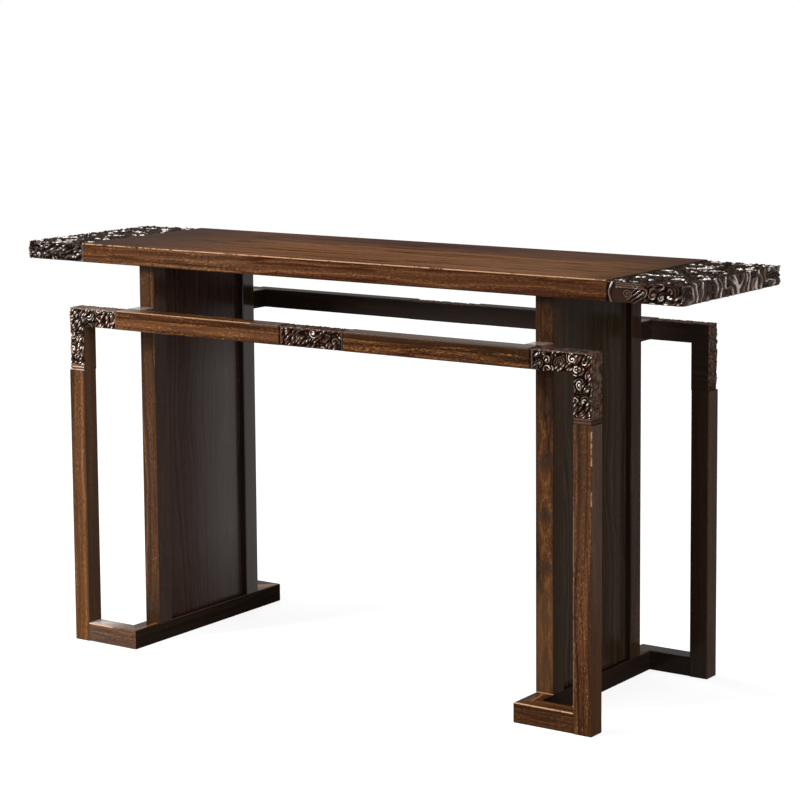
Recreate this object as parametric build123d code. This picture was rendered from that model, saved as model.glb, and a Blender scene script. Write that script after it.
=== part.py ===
from build123d import *
import os

# Altar table, in millimetres. Origin on the floor under the middle of the table.
# +X to the right along the top, -Y to the front, +Z up.

# ---- Overall sizes ----
table_height = 850
top_length = 1600
top_width = 400
top_thickness = 40
end_piece_length = 160
frame_depth = 500

# ---- Frame timber and the clear gaps around it ----
timber = 40
arris_radius = 2.5
top_gap = 90
post_gap = 90
spacer_length = 40

# ---- Carved blocks of the frames, bordered by beads that lie between sunk quirks ----
corner_block_length = 135
centre_block_length = 160
bead_width = 3.5
quirk_width = 2.5
quirk_depth = 2.5

# ---- Support panels ----
panel_thickness = 14
panel_groove_depth = 8
panel_edge_play = 0.8
panel_face_play = 0.3

# ---- Mortise and tenon joints ----
joint_clearance = 0.2
glue_gap = 0.8
tenon_width = 20
tenon_thickness = 12
tenon_length = 24
spacer_tenon_side = 16
spacer_tenon_length = 14
mitre_tenon_wall = 10
mitre_tenon_shoulder = 8

# ---- Joint between the top board and its end pieces ----
tongue_thickness = 12
tongue_length = 14
tongue_stop = 30
end_tenon_width = 60
end_tenon_length = 45
end_tenon_count = 3
end_tenon_spacing = 120

# ---- Heights ----
top_underside = table_height - top_thickness
top_middle = table_height - top_thickness / 2
frame_top = top_underside - top_gap
rail_underside = frame_top - timber
rail_middle = frame_top - timber / 2
corner_underside = frame_top - corner_block_length

# ---- Places along the table, on its right half ----
top_end = top_length / 2
board_end = top_end - end_piece_length
post_outside = board_end
post_inside = post_outside - timber
post_middle = post_outside - timber / 2
support_outside = post_inside - post_gap
support_inside = support_outside - timber
support_middle = support_outside - timber / 2
centre_block_end = centre_block_length / 2
corner_block_start = post_outside - corner_block_length

# ---- Places across the table, on its front half ----
top_front = -top_width / 2
frame_front = -frame_depth / 2
frame_back = frame_front + timber
frame_middle = frame_front + timber / 2
stile_front = frame_back + spacer_length
stile_back = stile_front + timber
stile_middle = stile_front + timber / 2
groove_bottom = stile_back - panel_groove_depth

# ---- Shoulders: where a tenon stands, with z pointing into its mortise ----
rail_in_centre = Plane((centre_block_end, frame_middle, rail_middle), x_dir=(0, 0, 1), z_dir=(-1, 0, 0))
rail_in_corner = Plane((corner_block_start, frame_middle, rail_middle), x_dir=(0, 0, 1), z_dir=(1, 0, 0))
post_in_corner = Plane((post_middle, frame_middle, corner_underside), x_dir=(1, 0, 0), z_dir=(0, 0, 1))
arm_in_post = Plane((post_inside, frame_middle, timber / 2), x_dir=(0, 0, 1), z_dir=(1, 0, 0))
spacer_in_rail = Plane((support_middle, frame_back, rail_middle), x_dir=(1, 0, 0), z_dir=(0, -1, 0))
spacer_in_stile = Plane((support_middle, stile_front, rail_middle), x_dir=(1, 0, 0), z_dir=(0, 1, 0))
stile_in_foot = Plane((support_middle, stile_middle, timber), x_dir=(1, 0, 0), z_dir=(0, 0, -1))
stile_in_top = Plane((support_middle, stile_middle, top_underside), x_dir=(1, 0, 0), z_dir=(0, 0, 1))

# ---- Mitred foot corner: x runs back along the tenoned arm and y back along the foot beam ----
foot_corner = Plane((support_inside, frame_front, timber / 2), x_dir=(1, 0, 0), z_dir=(0, 0, 1))


def block(x_faces, y_faces, z_faces):
    """A square block between three pairs of faces."""
    sizes = [high - low for low, high in (x_faces, y_faces, z_faces)]
    centre = [(high + low) / 2 for low, high in (x_faces, y_faces, z_faces)]
    return Pos(*centre) * Box(*sizes)


def eased_bar(x_faces, y_faces, z_faces, grain):
    """A planed bar whose four long arrises, along the grain, are rounded."""
    bar = block(x_faces, y_faces, z_faces)
    return fillet(bar.edges().filter_by(grain), arris_radius)


def tenon(shoulder, width=tenon_width, thickness=tenon_thickness, length=tenon_length):
    """A square tenon standing on its shoulder."""
    return shoulder * Box(width, thickness, length, align=(Align.CENTER, Align.CENTER, Align.MIN))


def mortise(shoulder, width=tenon_width, thickness=tenon_thickness, length=tenon_length):
    """The hole for a tenon: free on its cheeks, with room for glue at its end."""
    play = 2 * joint_clearance
    return tenon(shoulder, width + play, thickness + play, length + glue_gap)


def spacer_tenon(shoulder):
    """The square tenon at either end of a spacer."""
    return tenon(shoulder, spacer_tenon_side, spacer_tenon_side, spacer_tenon_length)


def spacer_mortise(shoulder):
    """The hole for a spacer's tenon."""
    return mortise(shoulder, spacer_tenon_side, spacer_tenon_side, spacer_tenon_length)


def left(right_piece):
    """The same piece at the left end of the table."""
    return mirror(right_piece, about=Plane.YZ)


def rear(front_piece):
    """The same piece at the back of the table."""
    return mirror(front_piece, about=Plane.XZ)


def end_tenon_shoulders():
    """Where the top board's long tenons stand, spread evenly across its end."""
    first = -(end_tenon_count - 1) / 2 * end_tenon_spacing
    for row in range(end_tenon_count):
        place = (board_end, first + row * end_tenon_spacing, top_middle)
        yield Plane(place, x_dir=(0, 1, 0), z_dir=(1, 0, 0))


def end_tongue(side_play=0, end_play=0):
    """The stopped tongue on the top board's end or, given some play, its groove."""
    x_faces = (board_end, board_end + tongue_length + end_play)
    half_width = top_width / 2 - tongue_stop + side_play
    half_thickness = tongue_thickness / 2 + side_play
    z_faces = (top_middle - half_thickness, top_middle + half_thickness)
    return block(x_faces, (-half_width, half_width), z_faces)


def panel_groove(z_faces):
    """The groove that holds a support panel over a stretch of its height."""
    half_thickness = panel_thickness / 2 + panel_face_play
    x_faces = (support_middle - half_thickness, support_middle + half_thickness)
    return block(x_faces, (groove_bottom, -groove_bottom), z_faces)


def top_board():
    """The plain board, tongued and tenoned into an end piece at each end."""
    half = block((0, board_end), (top_front, -top_front), (top_underside, table_height))
    half = fillet(half.edges().filter_by(Axis.X), arris_radius)
    half += end_tongue()
    for shoulder in end_tenon_shoulders():
        half += tenon(shoulder, end_tenon_width, tongue_thickness, end_tenon_length)
    stile_mortise = mortise(stile_in_top)
    half -= stile_mortise
    half -= rear(stile_mortise)
    half -= panel_groove((top_underside, top_underside + panel_groove_depth))
    return half + left(half)


def top_end_piece():
    """The carver's block across an end of the top, grooved and mortised for the board."""
    piece = block((board_end, top_end), (top_front, -top_front), (top_underside, table_height))
    piece -= end_tongue(side_play=joint_clearance, end_play=glue_gap)
    for shoulder in end_tenon_shoulders():
        piece -= mortise(shoulder, end_tenon_width, tongue_thickness, end_tenon_length)
    return piece


def rail():
    """The plain length of a frame rail, between the centre block and a corner block."""
    x_faces = (centre_block_end, corner_block_start)
    bar = eased_bar(x_faces, (frame_front, frame_back), (rail_underside, frame_top), Axis.X)
    bar += tenon(rail_in_centre)
    bar += tenon(rail_in_corner)
    return bar - spacer_mortise(spacer_in_rail)


def rail_quirk(start):
    """A sunk line over the front and the top of a frame, beside a bead."""
    span = (start, start + quirk_width)
    front = block(span, (frame_front, frame_front + quirk_depth), (rail_underside, frame_top))
    top = block(span, (frame_front, frame_back), (frame_top - quirk_depth, frame_top))
    return front + top


def post_quirk(start):
    """A sunk line over the front and the outer side of a frame, beside a bead."""
    span = (start, start + quirk_width)
    front = block((post_inside, post_outside), (frame_front, frame_front + quirk_depth), span)
    side = block((post_outside - quirk_depth, post_outside), (frame_front, frame_back), span)
    return front + side


def centre_block():
    """The carver's block in the middle of a frame, with a bead at each end."""
    half = eased_bar((0, centre_block_end), (frame_front, frame_back), (rail_underside, frame_top), Axis.X)
    half -= rail_quirk(centre_block_end - bead_width - quirk_width)
    half -= mortise(rail_in_centre)
    return half + left(half)


def corner_block():
    """The carver's L-shaped block between a rail and a post, with a pair of beads at its foot."""
    depth = (frame_front, frame_back)
    rail_arm = eased_bar((corner_block_start, post_outside), depth, (rail_underside, frame_top), Axis.X)
    post_arm = eased_bar((post_inside, post_outside), depth, (corner_underside, frame_top), Axis.Z)
    piece = rail_arm + post_arm
    piece -= rail_quirk(corner_block_start + bead_width)
    piece -= post_quirk(corner_underside + bead_width)
    piece -= post_quirk(corner_underside + 2 * bead_width + quirk_width)
    return piece - mortise(rail_in_corner) - mortise(post_in_corner)


def post():
    """The plain length of a frame post, from the floor up to its corner block."""
    depth = (frame_front, frame_back)
    bar = eased_bar((post_inside, post_outside), depth, (0, corner_underside), Axis.Z)
    return bar + tenon(post_in_corner) - mortise(arm_in_post)


def mitre_plane():
    """The mitre of the foot's corner, with the tenoned arm on its positive side."""
    return Plane(foot_corner.origin, x_dir=foot_corner.z_dir, z_dir=foot_corner.x_dir - foot_corner.y_dir)


def mitre_tenon(side_play=0, end_play=0):
    """The hidden tenon of the foot's mitre or, given some play, the hole for it."""
    along = (mitre_tenon_wall - end_play, timber)
    across = (mitre_tenon_wall - side_play, timber - mitre_tenon_shoulder + side_play)
    half_thickness = tenon_thickness / 2 + side_play
    return foot_corner * block(along, across, (-half_thickness, half_thickness))


def foot_arm():
    """A foot arm, from its mitre with the foot beam out to the post."""
    bar = eased_bar((support_inside, post_inside), (frame_front, frame_back), (0, timber), Axis.X)
    mitred = split(bar, bisect_by=mitre_plane(), keep=Keep.TOP)
    return mitred + mitre_tenon() + tenon(arm_in_post)


def foot_beam():
    """The beam under a support, mitred to a foot arm at its front and its rear."""
    half = eased_bar((support_inside, support_outside), (frame_front, 0), (0, timber), Axis.Y)
    half = split(half, bisect_by=mitre_plane(), keep=Keep.BOTTOM)
    half -= mitre_tenon(side_play=joint_clearance, end_play=glue_gap)
    half -= mortise(stile_in_foot)
    half -= panel_groove((timber - panel_groove_depth, timber))
    return half + rear(half)


def stile():
    """A support stile, tenoned at its foot and its head and grooved for the panel."""
    x_faces = (support_inside, support_outside)
    bar = eased_bar(x_faces, (stile_front, stile_back), (timber, top_underside), Axis.Z)
    bar += tenon(stile_in_foot)
    bar += tenon(stile_in_top)
    return bar - spacer_mortise(spacer_in_stile) - panel_groove((timber, top_underside))


def support_panel():
    """A panel that stands in the foot beam's groove, with play at its sides and its top."""
    x_faces = (support_middle - panel_thickness / 2, support_middle + panel_thickness / 2)
    half_width = -groove_bottom - panel_edge_play
    z_faces = (timber - panel_groove_depth, top_underside + panel_groove_depth - panel_edge_play)
    return block(x_faces, (-half_width, half_width), z_faces)


def spacer():
    """A block that ties a stile to its rail, tenoned into both."""
    x_faces = (support_inside, support_outside)
    bar = eased_bar(x_faces, (frame_back, stile_front), (rail_underside, frame_top), Axis.Y)
    return bar + spacer_tenon(spacer_in_rail) + spacer_tenon(spacer_in_stile)


def table_pieces():
    """Every piece of the table, by name."""
    pieces = {"top_board": top_board(), "front_centre_block": centre_block()}
    pieces["rear_centre_block"] = rear(pieces["front_centre_block"])
    across_table = {"top_end": top_end_piece(), "foot_beam": foot_beam(), "support_panel": support_panel()}
    for name, piece in across_table.items():
        pieces[f"{name}_right"] = piece
        pieces[f"{name}_left"] = left(piece)
    at_each_corner = {
        "rail": rail(),
        "corner_block": corner_block(),
        "post": post(),
        "foot_arm": foot_arm(),
        "stile": stile(),
        "spacer": spacer(),
    }
    for name, piece in at_each_corner.items():
        for row, row_piece in (("front", piece), ("rear", rear(piece))):
            pieces[f"{row}_{name}_right"] = row_piece
            pieces[f"{row}_{name}_left"] = left(row_piece)
    return pieces


os.makedirs("parts", exist_ok=True)
for piece_name, piece in table_pieces().items():
    export_step(piece, f"parts/{piece_name}.step")
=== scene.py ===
import math
from collections import namedtuple

import bmesh
import bpy
from mathutils import Matrix, Vector


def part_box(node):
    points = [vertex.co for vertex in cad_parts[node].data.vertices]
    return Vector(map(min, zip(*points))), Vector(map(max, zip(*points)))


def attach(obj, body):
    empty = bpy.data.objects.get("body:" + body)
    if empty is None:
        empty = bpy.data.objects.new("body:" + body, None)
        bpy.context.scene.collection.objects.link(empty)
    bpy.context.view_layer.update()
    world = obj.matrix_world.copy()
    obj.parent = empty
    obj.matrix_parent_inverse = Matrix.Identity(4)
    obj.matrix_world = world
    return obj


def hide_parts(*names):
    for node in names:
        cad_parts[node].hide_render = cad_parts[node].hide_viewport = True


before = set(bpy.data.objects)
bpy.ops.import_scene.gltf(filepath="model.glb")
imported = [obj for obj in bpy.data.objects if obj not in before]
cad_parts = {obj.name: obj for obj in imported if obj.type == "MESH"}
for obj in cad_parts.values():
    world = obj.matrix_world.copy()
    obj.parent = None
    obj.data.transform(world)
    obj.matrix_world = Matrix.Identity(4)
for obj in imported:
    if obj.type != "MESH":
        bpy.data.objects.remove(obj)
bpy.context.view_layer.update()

# ---- Places on the table, in metres ----
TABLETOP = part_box("top_board")
FRONT_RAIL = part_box("front_rail_right")
RIGHT_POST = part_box("front_post_right")
RIGHT_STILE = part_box("front_stile_right")
CENTRE_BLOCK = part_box("front_centre_block")
CORNER_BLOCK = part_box("front_corner_block_right")
END_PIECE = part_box("top_end_right")

FRAME_FACE, RAIL_END = FRONT_RAIL[0].y, CORNER_BLOCK[0].x
RAIL_FOOT, RAIL_TOP = FRONT_RAIL[0].z, FRONT_RAIL[1].z
POST_IN, POST_OUT = RIGHT_POST[0].x, RIGHT_POST[1].x
STILE_OUTER, STILE_INNER = abs(RIGHT_STILE[0].y), abs(RIGHT_STILE[1].y)
FOOT_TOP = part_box("front_foot_arm_right")[1].z

# ---- The carver's sizes, in metres ----
CUT_STEP = 0.00065        # between the points of a frame block's surface
CAP_CUT_STEP = 0.00106    # between the points of an end piece's surface
EDGE_EASE = 0.007         # the round of a carved edge
BEAD = 0.0035             # a border's bead
BEAD_FALL = 0.0009        # how far a bead's sides fall away
QUIRK = 0.0025            # the sunk line beside a bead
QUIRK_DEPTH = 0.0025
QUIRK_SIDE = 0.0003       # a sunk line's sloping side
BORDER = BEAD + QUIRK
FIRST_CUT = 0.0015        # the length over which carving comes up from a sunk line
RAIL_SET_BACK = 0.0036    # how far the bead beside a rail lies back
TOP_SUNK = 0.001          # the deepest that a border lies on a frame's top
CAP_START = 0.0016        # how deep an end piece's carving starts beside the board
CAP_RISE = 0.012          # the length over which it comes up
LEAD_LENGTH = 0.07        # the plain start of the right end piece's scroll
LEAD_DEPTH = 0.0048
SAME_PLACE = 1e-5
ON_FACE = 1e-6

# ---- Shares of the full carving ----
TOP_SHARE = 0.35          # how deep a frame's top and its ends are carved
END_SHARE = 0.58
CENTRE_TOP_RUB_AND_GLINT = 0.04     # how far they are painted pale, partly as wear and partly as painted glints
END_RUB_AND_GLINT = 0.02
CAP_END_RUB_AND_GLINT = 0.4


# ---- Node trees ----

def math_way(operation, reflected=False):
    """An operator of Wire, which adds a Math node. Reflected, it takes the other value first."""
    def operate(wire, *others):
        values = (*others, wire) if reflected else (wire, *others)
        return sum_node(wire.tree, operation, *values)
    return operate


class Wire:
    """A number or a vector on its way through a node tree. Sums on it add their own Math nodes."""

    def __init__(self, tree, socket):
        self.tree = tree
        self.socket = socket

    __add__, __radd__ = math_way("ADD"), math_way("ADD", reflected=True)
    __sub__, __rsub__ = math_way("SUBTRACT"), math_way("SUBTRACT", reflected=True)
    __mul__, __rmul__ = math_way("MULTIPLY"), math_way("MULTIPLY", reflected=True)
    __truediv__, __rtruediv__ = math_way("DIVIDE"), math_way("DIVIDE", reflected=True)
    __pow__ = math_way("POWER")
    __abs__ = math_way("ABSOLUTE")
    __gt__ = math_way("GREATER_THAN")
    __lt__ = math_way("LESS_THAN")


class Outputs:
    """The outputs of one node, found by their place or their name."""

    def __init__(self, tree, made):
        self.tree = tree
        self.made = made

    def __getitem__(self, key):
        return Wire(self.tree, self.made.outputs[key])


def node(tree, kind, sockets=None, **settings):
    """One node, with its settings made first and then its sockets filled or linked."""
    made = tree.nodes.new(kind)
    for key, value in settings.items():
        if key == "stops":
            fill_ramp(made.color_ramp, value)
        else:
            setattr(made, key, value)
    for key, value in (sockets or {}).items():
        if isinstance(value, Wire):
            tree.links.new(value.socket, made.inputs[key])
        else:
            made.inputs[key].default_value = value
    return Outputs(tree, made)


def sum_node(tree, operation, *values):
    """A Math node."""
    return node(tree, "ShaderNodeMath", dict(enumerate(values)), operation=operation)[0]


def wave(value):
    """The sine of a value."""
    return sum_node(value.tree, "SINE", value)


def larger(first, second):
    """The larger of two values."""
    return sum_node(first.tree, "MAXIMUM", first, second)


def fill_ramp(ramp, stops):
    """A colour ramp's stops, each a place and a colour."""
    while len(ramp.elements) > 1:
        ramp.elements.remove(ramp.elements[-1])
    for number, (place, colour) in enumerate(stops):
        stop = ramp.elements[0] if number == 0 else ramp.elements.new(place)
        stop.position = place
        stop.color = (*colour, 1.0)


def between(value, low, high, smooth=True):
    """0 below low, 1 above high, and an even or an eased rise between them."""
    return node(value.tree, "ShaderNodeMapRange", {"Value": value, "From Min": low, "From Max": high},
                interpolation_type="SMOOTHSTEP" if smooth else "LINEAR")["Result"]


def lerp(share, low, high):
    """A number between low and high."""
    return low + share * (high - low)


def blend_colour(share, first, second, way="MIX"):
    """Two colours mixed, or one laid on the other."""
    first = first if isinstance(first, Wire) else (*first, 1.0)
    second = second if isinstance(second, Wire) else (*second, 1.0)
    return node(share.tree, "ShaderNodeMix", {0: share, 6: first, 7: second},
                data_type="RGBA", blend_type=way)[2]


def vector_maths(operation, first, *others, out=0):
    """A Vector Math node."""
    values = dict(enumerate((first, *others)))
    return node(first.tree, "ShaderNodeVectorMath", values, operation=operation)[out]


def length(vector):
    """How long a vector is."""
    return vector_maths("LENGTH", vector, out="Value")


def scaled(vector, times):
    """A vector times a number."""
    return node(vector.tree, "ShaderNodeVectorMath", {0: vector, "Scale": times}, operation="SCALE")[0]


def parts(vector):
    """A vector's X, Y and Z."""
    return node(vector.tree, "ShaderNodeSeparateXYZ", {0: vector})


def placed(name, data):
    """A new object in the scene."""
    made = bpy.data.objects.new(name, data)
    bpy.context.scene.collection.objects.link(made)
    return made


# ---- Finishes ----

GRAIN_TURNS = {"X": (0, 0, 0), "Y": (0, 0, -math.pi / 2), "Z": (0, math.pi / 2, 0)}
ARCH_LINE = (0.04, 0.022, 0.015)
WORN_AND_HIGHLIT_WOOD = (0.55, 0.32, 0.19)
ARRIS_REACH = 0.002

# How much darker or paler than the wood's deep tone its veins, pores and dark bands are
VEIN_TONE, PORE_TONE, BAND_TONE = 0.45, 0.5, 1.6

# The layers of the wood's figure. Each has its scale along and across the grain, per metre, and the detail
# and the roughness of its noise
SLOW_WAVE, RIPPLE, VEINS = (1.6, 7.0, 3.0, 0.55), (5.5, 30.0, 3.0, 0.5), (1.6, 26.0, 4.0, 0.55)
FLECKS, FLECK_FIELDS = (120.0, 300.0, 2.0, 0.7), (22.0, 40.0, 2.0, 0.5)
FIBRE, PORES = (9.0, 420.0, 3.0, 0.6), (55.0, 950.0, 1.0, 0.5)


def new_finish(name):
    """A new material and its tree, still empty."""
    material = bpy.data.materials.new(name)
    material.use_nodes = True
    material.node_tree.nodes.clear()
    return material, material.node_tree


def polish(tree, sockets):
    """The polish that ends a finish: its only gloss is that of the coat."""
    shader = node(tree, "ShaderNodeBsdfPrincipled", {"Specular IOR Level": 0.0, **sockets})[0]
    node(tree, "ShaderNodeOutputMaterial", {0: shader})


def noise(place, detail, roughness, scale=1.0):
    """A Noise Texture."""
    return node(place.tree, "ShaderNodeTexNoise",
                {"Vector": place, "Scale": scale, "Detail": detail, "Roughness": roughness})["Fac"]


def figure(place, layer, *shift):
    """One layer of the wood's figure, which may be shifted to look different on another piece."""
    along, across, detail, roughness = layer
    stretched = node(place.tree, "ShaderNodeMapping",
                     {"Vector": place, "Scale": (along, across, across), "Location": shift or (0, 0, 0)})
    return noise(stretched["Vector"], detail, roughness)


def toned(colour, times):
    """A colour made lighter or darker."""
    return tuple(times * part for part in colour)


def rosewood(name, grain, deep, middle, pale, seed=0.0, bands=110.0, contrast=1.0, flecked=0.9,
             streak=0.7, gloss=0.34, coat=0.4, coat_runs=(), top_coat=0.0, coat_ior=1.17,
             coat_roughness=0.12, dark_above=None, dark_below=None, stains=(), arrises=(), calm_top=0.0,
             arches=None):
    """Polished rosewood: layered growth bands along the grain, meandering dark streaks and open pores.

    A coat run gives an axis, two places on it and the coat's share at each. dark_above and dark_below
    give a height and how dark the wood is past it. Each laid colour, mostly painted shade, painted
    highlights or painted reflections and sometimes the wood's own tone, gives the faces it lies on, its
    strength, its colour and, on any axis, where it starts and where it is full. arches give the middle,
    the length and the foot of the arched figure on a stile.
    """
    material, tree = new_finish(name)
    here = node(tree, "ShaderNodeTexCoord")
    spot, facing = parts(here["Object"]), parts(here["Normal"])
    place = node(tree, "ShaderNodeMapping",
                 {"Vector": here["Object"], "Rotation": GRAIN_TURNS[grain]})["Vector"]
    slow = figure(place, SLOW_WAVE, seed, seed, 0.0)
    ripple = figure(place, RIPPLE, 0.0, seed, seed)
    turned = parts(place)
    across = turned["Y"] * 0.45 + turned["Z"] * 0.9 + slow * 0.06 + ripple * 0.008
    if arches:
        arch_middle, arch_length, arch_foot = arches
        height = spot["Z"] + (slow - 0.5) * 0.12 + (ripple - 0.5) * 0.03
        to_arch = sum_node(tree, "PINGPONG", height - arch_foot, arch_length / 2)
        off_middle = abs(spot["X"] - arch_middle + (slow - 0.5) * 0.03)
        across = across * 0.5 + to_arch * 0.25 + off_middle ** 1.6 * 9.0
    layers = node(tree, "ShaderNodeTexNoise",
                  {"W": across * bands + seed, "Scale": 1.0, "Detail": 5.0, "Roughness": 0.62},
                  noise_dimensions="1D")["Fac"]
    layers = between(layers, 0.5 - 0.2 / contrast, 0.5 + 0.22 / contrast, smooth=False)
    fibre = figure(place, FIBRE)
    flecks = figure(place, FLECKS, seed, 0.0, seed)
    figured = between(figure(place, FLECK_FIELDS, seed, seed, seed), 0.4, 0.62)
    tone = layers * 0.7 + fibre * 0.35 + (flecks - 0.5) * lerp(figured, 0.6, 1.7) * flecked - 0.08
    if calm_top:
        tone = lerp(abs(facing["Z"]) * calm_top, tone, 0.5)
    colour = node(tree, "ShaderNodeValToRGB", {0: tone},
                  stops=[(0.0, deep), (0.5, middle), (1.0, pale)])[0]
    from_vein = abs(figure(place, VEINS, seed, 3.1, seed) - 0.5)
    vein = 1.0 - between(from_vein, 0.0, 0.045)
    colour = blend_colour(vein * streak, colour, toned(deep, VEIN_TONE))
    pores = between(figure(place, PORES), 0.6, 0.7)
    colour = blend_colour(pores * 0.55, colour, toned(deep, PORE_TONE))
    if dark_above:
        height, share = dark_above
        band = between(spot["Z"] + (ripple - 0.5) * 0.03, height - 0.002, height + 0.003)
        colour = blend_colour(band * share, colour, toned(deep, BAND_TONE))
    if dark_below:
        height, share = dark_below
        band = 1.0 - between(spot["Z"] + (ripple - 0.5) * 0.01, height - 0.003, height + 0.003)
        colour = blend_colour(band * share, colour, toned(deep, BAND_TONE))
    if arches:
        colour = blend_colour((1.0 - between(to_arch, 0.002, 0.022)) * 0.6, colour, ARCH_LINE)
    # Colours laid by the way a face turns and by place: mostly painted shade, highlights and reflections
    for way, share, stain, *runs in stains:
        stain_and_light_share = (larger(0.0 - facing["Y"], 0.0) if way == "-Y" else abs(facing[way])) * share
        for along, clear, full in runs:
            stain_and_light_share = stain_and_light_share * between(spot[along], clear, full)
        colour = blend_colour(stain_and_light_share, colour, stain)
    # Pale arrises: partly wear, partly painted highlights
    if arrises:
        colour = blend_colour(arris_wear_and_highlight(here["Object"], arrises), colour, WORN_AND_HIGHLIT_WOOD)
    for along, start, end, at_start, at_end in coat_runs:
        coat = coat * lerp(between(spot[along], start, end, smooth=False), at_start, at_end)
    if top_coat:
        coat = coat + between(facing["Z"], 0.5, 0.9) * top_coat
    cloth_marks = noise(place, 3.0, 0.6, 9.0)
    bump = node(tree, "ShaderNodeBump", {"Strength": 0.25, "Distance": 0.0004,
                                        "Height": layers * 0.25 + fibre * 0.2 - pores})["Normal"]
    polish(tree, {
        "Base Color": colour,
        "Roughness": lerp(cloth_marks, gloss - 0.05, gloss + 0.12) + pores * 0.15,
        "Normal": bump,
        "Coat Weight": coat,
        "Coat IOR": coat_ior,
        "Coat Roughness": coat_roughness,
    })
    return material


def arris_wear_and_highlight(place, arrises):
    """How far long arrises are painted pale, partly as wear from hands and partly as painted highlights.

    Each is given by two axes and its place on them, the run of the third axis that is worn, the least
    of a noise at which wear starts, and the wear's strength.
    """
    spot = parts(place)
    patches = noise(place, 3.0, 0.7, 30.0)
    wear_and_highlight = 0.0
    for (first, first_place), (second, second_place), (along, low, high), start, strength in arrises:
        gap = (spot[first] - first_place) ** 2.0 + (spot[second] - second_place) ** 2.0
        run = (spot[along] > low) * (spot[along] < high)
        wear_and_highlight = wear_and_highlight + (gap < ARRIS_REACH ** 2) * run * between(patches, start, start + 0.15) * strength
    return wear_and_highlight


def carved_finish(name, crest, face, shade, floor, ruddy, ruddy_share, wear_and_highlight, wear_and_highlight_top, painted_shade_top,
                  painted_shade_ends=0.0, brown_front=0.0, coat_ior=1.5):
    """Dark polish on carving: near black where it lies deep, as painted shade, and glossy and pale on
    crests, partly wear from rubbing and partly painted glints.

    The first four colours run from the highest of the carving to the deepest, painting shade into the
    hollows. ruddy tints patches, and with brown_front the whole front of the right side too. The two pale
    colours, for the sides and for the tops, are those of wear from rubbing and of painted glints, on the
    tops standing for painted reflections. Tops and ends are darkened toward the deepest colour as painted
    shade.
    """
    material, tree = new_finish(name)
    here = node(tree, "ShaderNodeTexCoord")
    place, facing = here["Object"], parts(here["Normal"])
    hollow = node(tree, "ShaderNodeAttribute", attribute_name="hollow")["Fac"]
    rub_and_glint = node(tree, "ShaderNodeAttribute", attribute_name="rub_and_glint")["Fac"]
    patches = noise(place, 3.0, 0.6, 22.0)
    grain = noise(place, 4.0, 0.65, 240.0)
    # The ramp by depth paints shade into the carving's hollows: the deeper, the darker
    colour = node(tree, "ShaderNodeValToRGB", {0: hollow + (grain - 0.5) * 0.3},
                  stops=[(0.0, crest), (0.25, face), (0.55, shade), (0.92, floor)])[0]
    toward_right = between(parts(place)["X"], -0.1, 0.1)
    front_share = between(abs(facing["Y"]), 0.3, 0.7) * toward_right * brown_front
    ruddy_share = larger(between(patches, 0.5, 0.62) * ruddy_share, front_share)
    colour = blend_colour(ruddy_share, colour, ruddy, "MULTIPLY")
    faces_up = between(facing["Z"], 0.3, 0.9)
    # Painted shade: up-facing faces and end faces darkened toward the deepest colour
    colour = blend_colour(faces_up * painted_shade_top, colour, floor)
    colour = blend_colour(between(abs(facing["X"]), 0.4, 0.8) * painted_shade_ends, colour, floor)
    # Pale crests: partly wear, partly painted glints, and on the tops painted reflections
    wear_and_highlight = blend_colour(faces_up, wear_and_highlight, wear_and_highlight_top)
    colour = blend_colour(rub_and_glint * between(grain, 0.2, 0.5), colour, wear_and_highlight)
    bump = node(tree, "ShaderNodeBump", {"Strength": 0.2, "Distance": 0.0003, "Height": grain})["Normal"]
    polish(tree, {
        "Base Color": colour,
        "Roughness": lerp(patches, 0.3, 0.5),
        "Normal": bump,
        "Coat Weight": rub_and_glint,
        "Coat IOR": coat_ior,
        "Coat Roughness": 0.14,
    })
    return material


# ---- The carver's blanks ----

# What a spot on a blank tells the carving: how much of it the spot takes, how deep the spot is sunk,
# how far its carving is folds, how far it is painted pale as wear and glints, and how broad those patches
# are
Marks = namedtuple("Marks", "carved_share sunk folded handled broad", defaults=(0.0,) * 5)


def steps(low, high, size):
    """Evenly spaced places from low to high, about size apart."""
    count = max(1, round((high - low) / size))
    return [low + (high - low) * i / count for i in range(count + 1)]


def joined_steps(*runs):
    """Places from several runs, in order and without doubles."""
    places = sorted({round(place, 7) for run in runs for place in run})
    return [p for i, p in enumerate(places) if i == 0 or p - places[i - 1] > SAME_PLACE]


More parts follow.
